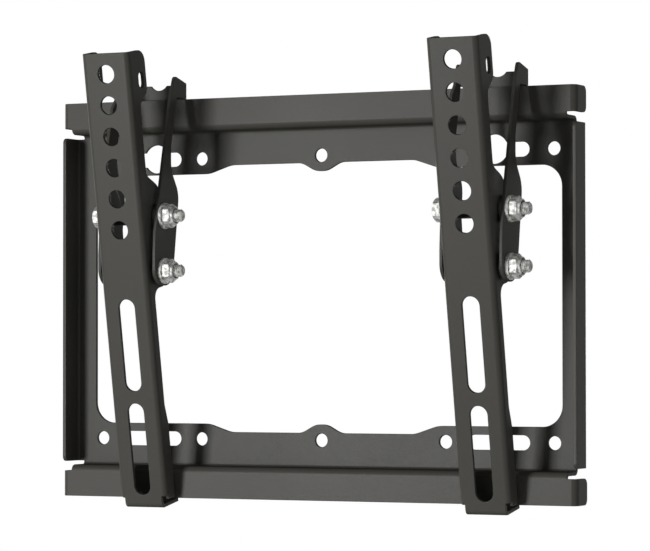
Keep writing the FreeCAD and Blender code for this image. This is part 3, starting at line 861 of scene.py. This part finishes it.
def coat_sheet(piece, name, painted_shade=1.0):
    """Coats a sheet; what faces up or down, which lies in its folds, gets a glossless copy of the
    coat as painted shade.
    """
    # A shade factor below 1 darkens the coat: painted shade.
    piece.data.materials.append(coat_finish(name, painted_shade, COAT_GLOSS))
    piece.data.materials.append(coat_finish(f"{name}_in_folds", painted_shade, FOLD_PAINTED_SHADE_GLOSS))
    for face in piece.data.polygons:
        face.material_index = int(abs(face.normal.z) > FOLD)


def ring(axis, x, radius):
    """Points of a circle round the bolt's axis."""
    return [
        Vector(
            (
                x,
                axis[1] + radius * math.cos(2.0 * math.pi * step / ROUND_STEPS),
                axis[2] + radius * math.sin(2.0 * math.pi * step / ROUND_STEPS),
            )
        )
        for step in range(ROUND_STEPS)
    ]


def hexagon(axis, x, across, flat, outward):
    """Points of a hexagon's edge where its chamfer cone meets the sides."""
    points = []
    side, half_side = math.pi / 3.0, math.pi / 6.0
    for step in range(ROUND_STEPS):
        turn = 2.0 * math.pi * step / ROUND_STEPS
        off = (turn + half_side) % side - half_side
        radius = across / 2.0 / math.cos(off)
        back = max(0.0, radius - flat) * math.tan(CHAMFER_ANGLE)
        points.append(
            Vector(
                (
                    x - outward * back,
                    axis[1] + radius * math.cos(turn),
                    axis[2] + radius * math.sin(turn),
                )
            )
        )
    return points


def skin(shape, rings, closed=False):
    """Joins rings of points with strips of faces; the two ends are capped or joined."""
    rows = [[shape.verts.new(point) for point in points] for points in rings]
    pairs = list(zip(rows, rows[1:]))
    if closed:
        pairs.append((rows[-1], rows[0]))
    strips = []
    for low, high in pairs:
        strips.append(
            [
                shape.faces.new(
                    (
                        low[step],
                        low[(step + 1) % ROUND_STEPS],
                        high[(step + 1) % ROUND_STEPS],
                        high[step],
                    )
                )
                for step in range(ROUND_STEPS)
            ]
        )
    if not closed:
        shape.faces.new(rows[0])
        shape.faces.new(rows[-1])
    return strips


def dress(piece, body, slot, *nodes):
    """Hands a finished piece to its body in place of the solids it stands for."""
    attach(piece, body)
    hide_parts(*nodes)


def middle(node):
    """Centre and X ends of a fastener in the frame."""
    low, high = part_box(node)
    return (low + high) / 2.0, low.x, high.x


def reach(point, axis):
    """Distance of a mesh point from a bolt's axis."""
    return math.hypot(point.co.y - axis.y, point.co.z - axis.z)


# Operators


class MOUNT_OT_wall_plate(Operator):
    """Coats the folded wall plate"""

    bl_idname = "mount.wall_plate"
    bl_label = "Wall Plate"

    def execute(self, context):
        plate = soften_sheet(
            "wall_plate", "wall_plate_coated", context.scene.mount_coat.edge
        )
        coat_sheet(plate, "plate_coat")
        dress(plate, "wall_plate", "coat", "wall_plate")
        return {"FINISHED"}


class MOUNT_OT_arms(Operator):
    """Coats the two tilting arms"""

    bl_idname = "mount.arms"
    bl_label = "Arms"

    def execute(self, context):
        for side in SIDES:
            arm = soften_sheet(
                f"{side}_arm", f"{side}_arm_coated", context.scene.mount_coat.edge
            )
            coat_sheet(arm, f"{side}_arm_coat")
            dress(arm, f"{side}_arm", "coat", f"{side}_arm")
        return {"FINISHED"}


class MOUNT_OT_brackets(Operator):
    """Coats the two hook brackets"""

    bl_idname = "mount.brackets"
    bl_label = "Hook Brackets"

    def execute(self, context):
        for side in SIDES:
            bracket = soften_sheet(
                f"{side}_hook_bracket",
                f"{side}_bracket_coated",
                context.scene.mount_coat.edge,
            )
            # The brackets get a darker copy of the coat: painted shade.
            coat_sheet(bracket, f"{side}_bracket_coat", BRACKET_PAINTED_SHADE)
            dress(bracket, f"{side}_carriage", "coat", f"{side}_hook_bracket")
        return {"FINISHED"}


class MOUNT_OT_bolts(Operator):
    """Makes the pivot and lock bolts with their threads"""

    bl_idname = "mount.bolts"
    bl_label = "Bolts"

    def execute(self, context):
        zinc = context.scene.mount_fasteners
        tree = group_named("threaded_end", thread_tree)
        plating = zinc_finish("bolt_zinc")
        for side in SIDES:
            for kind in ("pivot", "lock"):
                node = f"{side}_{kind}_bolt"
                axis, _, last = middle(node)
                radius = self.shank_radius(node)
                start = last - zinc.threaded
                shape = bmesh.new()
                if kind == "pivot":
                    self.hex_head(shape, node, start, radius, zinc)
                else:
                    self.round_head(shape, node, start, radius)
                bolt = show_shape(f"{node}_threaded", shape)
                grow(
                    bolt,
                    tree,
                    {
                        "Start": (start, axis.y, axis.z),
                        "Length": zinc.threaded,
                        "Radius": radius,
                        "Pitch": zinc.pitch,
                        "Depth": zinc.depth,
                        "Tip": radius * TIP_SHARE,
                        "Material": plating,
                    },
                )
                dress(bolt, f"{side}_carriage", "zinc", node)
        return {"FINISHED"}

    def shank_radius(self, node):
        """Radius of the shank, from the frame's own solid."""
        axis, _, last = middle(node)
        return max(
            reach(point, axis)
            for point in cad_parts[node].data.vertices
            if point.co.x > last - SHANK_END
        )

    def seat(self, node, axis, radius):
        """Where the underside of the head lies."""
        return max(
            point.co.x
            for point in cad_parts[node].data.vertices
            if reach(point, axis) > radius * HEAD_SHARE
        )

    def hex_head(self, shape, node, start, radius, zinc):
        """Hexagon head with a shallow dish, and the plain part of the shank."""
        axis, first, _ = middle(node)
        low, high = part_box(node)
        across = high.y - low.y
        flat = across / 2.0 * zinc.chamfer
        seat = self.seat(node, axis, radius)
        dish = across * DISH_SHARE
        skin(
            shape,
            [ring(axis, first + deep, dish * share) for deep, share in DISH_RINGS]
            + [
                ring(axis, first, dish),
                ring(axis, first, flat),
                hexagon(axis, first, across, flat, -1.0),
                hexagon(axis, seat, across, across, 1.0),
                ring(axis, seat, radius),
                ring(axis, start, radius),
            ],
        )

    def round_head(self, shape, node, start, radius):
        """Low domed head and the plain part of the shank."""
        axis, first, _ = middle(node)
        low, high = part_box(node)
        wide = (high.y - low.y) / 2.0
        seat = self.seat(node, axis, radius)
        deep = (seat - first) * DOME_DEPTH
        dome = []
        for step in range(DOME_STEPS, -1, -1):
            turn = math.pi / 2.0 * step / DOME_STEPS
            share = 1.0 - DOME_CURVE * (1.0 - math.cos(turn))
            dome.append(ring(axis, first + deep * (1.0 - math.sin(turn)), wide * share))
        skin(
            shape,
            [ring(axis, first, wide * DOME_FLAT)]
            + dome
            + [
                ring(axis, seat - DOME_EDGE, wide),
                ring(axis, seat, wide - DOME_EDGE),
                ring(axis, seat, radius),
                ring(axis, start, radius),
            ],
        )


class MOUNT_OT_nuts(Operator):
    """Makes the lock nuts"""

    bl_idname = "mount.nuts"
    bl_label = "Lock Nuts"

    def execute(self, context):
        zinc = context.scene.mount_fasteners
        tree = group_named("nut_on_each_point", nut_tree)
        plating, nylon = zinc_finish("nut_zinc", NUT_SHIFT), nylon_and_shadow_finish("nut_nylon")
        pattern = self.pattern("left_pivot_nut", zinc)
        for side in SIDES:
            nodes = [f"{side}_pivot_nut", f"{side}_lock_nut"]
            mesh = bpy.data.meshes.new(f"{side}_nuts")
            mesh.from_pydata([middle(node)[0] for node in nodes], [], [])
            nuts = show(f"{side}_nuts", mesh)
            grow(nuts, tree, {"Nut": pattern, "Plating": plating, "Nylon": nylon})
            dress(nuts, f"{side}_carriage", "zinc", *nodes)
        bpy.data.objects.remove(pattern)
        return {"FINISHED"}

    def pattern(self, node, zinc):
        """One nut round the origin, with its collar and insert."""
        low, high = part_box(node)
        across, half = high.y - low.y, (high.x - low.x) / 2.0
        axis = Vector((0.0, 0.0, 0.0))
        flat = across / 2.0 * zinc.chamfer
        top = half - COLLAR_HEIGHT
        collar, bore = across * COLLAR_SHARE, across * BORE_SHARE
        lip = bore + INSERT_WIDTH
        shape = bmesh.new()
        layer = shape.faces.layers.bool.new("insert")
        strips = skin(
            shape,
            [
                ring(axis, -half, bore + BORE_CHAMFER),
                ring(axis, -half, flat),
                hexagon(axis, -half, across, flat, -1.0),
                hexagon(axis, top, across, flat, 1.0),
                ring(axis, top, flat),
                ring(axis, top, collar + COLLAR_FOOT),
                ring(axis, top + COLLAR_FOOT, collar),
                ring(axis, half - COLLAR_EDGE, collar),
                ring(axis, half - COLLAR_CURVE, collar - COLLAR_CURVE),
                ring(axis, half, collar - COLLAR_EDGE),
                ring(axis, half, lip),
                ring(axis, half - INSERT_DEPTH, lip),
                ring(axis, half - INSERT_DEPTH, bore),
                ring(axis, -half + BORE_CHAMFER, bore),
            ],
            closed=True,
        )
        bmesh.ops.recalc_face_normals(shape, faces=shape.faces)
        for strip in strips[INSERT_STRIPS]:
            for face in strip:
                face[layer] = True
        return show_shape("nut_pattern", shape)


class MOUNT_OT_washers(Operator):
    """Makes the washers, the spacers and the sleeves; the sleeves' black is painted shade"""

    bl_idname = "mount.washers"
    bl_label = "Washers"

    def execute(self, context):
        plating = zinc_finish("washer_zinc", WASHER_SHIFT)
        nylon_and_painted_shadow = nylon_and_shadow_finish("spacer_nylon")
        kinds = {
            "washers": (("pivot_head_washer", "pivot_washer", "lock_washer"), "zinc", plating),
            "spacers": (("pivot_spacer", "lock_spacer"), "nylon", nylon_and_painted_shadow),
            # The sleeves get the black nylon as painted shade, for the shade inside the arms.
            "sleeve": (("pivot_sleeve",), "nylon", nylon_and_painted_shadow),
        }
        for side in SIDES:
            for label, (names, slot, material) in kinds.items():
                nodes = [f"{side}_{name}" for name in names]
                piece = self.rings(f"{side}_{label}", nodes, material)
                dress(piece, f"{side}_carriage", slot, *nodes)
        return {"FINISHED"}

    def rings(self, name, nodes, material):
        """Rings of one width, each as thick as its node."""
        zinc = bpy.context.scene.mount_fasteners
        mesh = bpy.data.meshes.new(name)
        mesh.from_pydata([middle(node)[0] for node in nodes], [], [])
        thick = mesh.attributes.new("thick", "FLOAT", "POINT")
        for place, node in zip(thick.data, nodes):
            _, first, last = middle(node)
            place.value = last - first
        axis, first, last = middle(nodes[0])
        radii = [reach(point, axis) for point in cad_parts[nodes[0]].data.vertices]
        piece = show(name, mesh)
        grow(
            piece,
            group_named("washer_on_each_point", washer_tree),
            {
                "Outer Radius": max(radii),
                "Inner Radius": min(radii),
                "Thickness": last - first,
                "Edge": zinc.ring_edge,
                "Steps": zinc.ring_steps,
                "Material": material,
            },
        )
        return piece


class MOUNT_OT_stage(Operator):
    """Sets up the camera, the floor, the surroundings and the lamps"""

    bl_idname = "mount.stage"
    bl_label = "Stage"

    def execute(self, context):
        scene, stage = context.scene, context.scene.mount_stage
        scene.view_settings.view_transform = "Standard"
        self.camera(scene, stage)
        self.floor(stage)
        self.world(scene, stage)
        for name, (place, size) in LAMPS.items():
            self.lamp(f"{name}_lamp", place, size, getattr(stage, name))
        return {"FINISHED"}

    def camera(self, scene, stage):
        """Camera at the viewing angle of the photograph."""
        data = bpy.data.cameras.new("photo_camera")
        data.lens = stage.lens
        data.sensor_width = SENSOR
        data.sensor_fit = "HORIZONTAL"
        data.clip_start, data.clip_end = CLIP
        camera = bpy.data.objects.new("photo_camera", data)
        scene.collection.objects.link(camera)
        forward = FORWARD.normalized()
        right = forward.cross(ROUGH_UP).normalized()
        up = right.cross(forward)
        turn = Matrix((right, up, -forward)).transposed()
        camera.matrix_world = Matrix.Translation(stage.camera) @ turn.to_4x4()
        scene.camera = camera

    def lamp(self, name, place, size, power):
        """A square soft lamp that faces the mount."""
        data = bpy.data.lights.new(name, "AREA")
        data.shape = "SQUARE"
        data.size = size
        data.energy = power
        lamp = bpy.data.objects.new(name, data)
        bpy.context.scene.collection.objects.link(lamp)
        lamp.location = place
        lamp.rotation_mode = "QUATERNION"
        lamp.rotation_quaternion = (-Vector(place)).to_track_quat("-Z", "Y")

    def floor(self, stage):
        """Pale round floor below the mount."""
        shape = bmesh.new()
        bmesh.ops.create_circle(
            shape, cap_ends=True, segments=FLOOR_STEPS, radius=FLOOR_RADIUS
        )
        bmesh.ops.translate(shape, verts=shape.verts, vec=(0.0, 0.0, stage.floor))
        floor = show_shape("studio_floor", shape)
        material, tree, surface = new_material(
            "pale_floor",
            {
                "Roughness": FLOOR_ROUGHNESS,
                "Specular IOR Level": FLOOR_GLOSS,
                "Emission Color": WHITE,
            },
        )
        place = add_node(tree, "ShaderNodeTexCoord").outputs["Object"]
        paper = noise(tree, place, FLOOR_CLOUDS_PER_METRE, FLOOR_DETAIL)
        ramp = add_node(tree, "ShaderNodeValToRGB", {"Fac": paper})
        for stop, tone in zip(ramp.color_ramp.elements, FLOOR_TONES):
            stop.color = (tone, tone, tone, 1.0)
        tree.links.new(ramp.outputs["Color"], surface.inputs["Base Color"])
        path = add_node(tree, "ShaderNodeLightPath").outputs
        mirrored = calc(tree, "MAXIMUM", path["Is Glossy Ray"], path["Is Transmission Ray"])
        seen = calc(tree, "MAXIMUM", path["Is Camera Ray"], mirrored)
        glow = calc(tree, "MULTIPLY", seen, stage.paper)
        tree.links.new(glow, surface.inputs["Emission Strength"])
        floor.data.materials.append(material)

    def world(self, scene, stage):
        """White where it is seen, a toned room where it is mirrored, else a low even light."""
        world = bpy.data.worlds.new("studio")
        world.use_nodes = True
        scene.world = world
        tree = world.node_tree
        backdrop = tree.nodes["Background"]
        backdrop.inputs["Color"].default_value = WHITE
        path = add_node(tree, "ShaderNodeLightPath").outputs
        panel = self.towards(tree, *PANEL, PANEL_LEVELS)
        room = self.towards(tree, *DARK_SIDE, (stage.room, stage.dark))
        ceiling = self.towards(tree, *CEILING, CEILING_LEVELS)
        mirror = calc(tree, "MAXIMUM", panel, calc(tree, "MULTIPLY", room, ceiling))
        clear = calc(tree, "MAXIMUM", path["Is Camera Ray"], path["Is Transmission Ray"])
        mirrored = calc(tree, "MULTIPLY", path["Is Glossy Ray"], mirror)
        seen = calc(tree, "MAXIMUM", clear, mirrored)
        strength = calc(tree, "MAXIMUM", seen, stage.ambient)
        tree.links.new(strength, backdrop.inputs["Strength"])

    def towards(self, tree, direction, spread, levels):
        """A level that changes softly towards one direction of the world."""
        way = add_node(
            tree,
            "ShaderNodeVectorMath",
            {0: add_node(tree, "ShaderNodeTexCoord").outputs["Generated"], 1: direction},
            operation="DOT_PRODUCT",
        ).outputs["Value"]
        return add_node(
            tree,
            "ShaderNodeMapRange",
            {
                "Value": way,
                "From Min": spread[0],
                "From Max": spread[1],
                "To Min": levels[0],
                "To Max": levels[1],
            },
            interpolation_type="SMOOTHSTEP",
        ).outputs[0]


class MOUNT_PT_build(Panel):
    """Sizes, finishes and build steps of the wall mount"""

    bl_idname = "MOUNT_PT_build"
    bl_label = "Wall Mount"
    bl_space_type = "VIEW_3D"
    bl_region_type = "UI"
    bl_category = "Wall Mount"

    def draw(self, context):
        for group in (
            context.scene.mount_coat,
            context.scene.mount_fasteners,
            context.scene.mount_stage,
        ):
            box = self.layout.box()
            for name in group.__annotations__:
                box.prop(group, name)
        for step in STEPS:
            self.layout.operator(step.bl_idname)


STEPS = (
    MOUNT_OT_stage,
    MOUNT_OT_wall_plate,
    MOUNT_OT_arms,
    MOUNT_OT_brackets,
    MOUNT_OT_bolts,
    MOUNT_OT_nuts,
    MOUNT_OT_washers,
)
CLASSES = (CoatSettings, FastenerSettings, StageSettings, *STEPS, MOUNT_PT_build)


def register():
    for each in CLASSES:
        bpy.utils.register_class(each)
    bpy.types.Scene.mount_coat = PointerProperty(type=CoatSettings)
    bpy.types.Scene.mount_fasteners = PointerProperty(type=FastenerSettings)
    bpy.types.Scene.mount_stage = PointerProperty(type=StageSettings)


def unregister():
    del bpy.types.Scene.mount_stage
    del bpy.types.Scene.mount_fasteners
    del bpy.types.Scene.mount_coat
    for each in reversed(CLASSES):
        bpy.utils.unregister_class(each)


def main():
    register()
    bpy.ops.mount.stage()
    bpy.ops.mount.wall_plate()
    bpy.ops.mount.arms()
    bpy.ops.mount.brackets()
    bpy.ops.mount.bolts()
    bpy.ops.mount.nuts()
    bpy.ops.mount.washers()


if __name__ == "__main__":
    main()
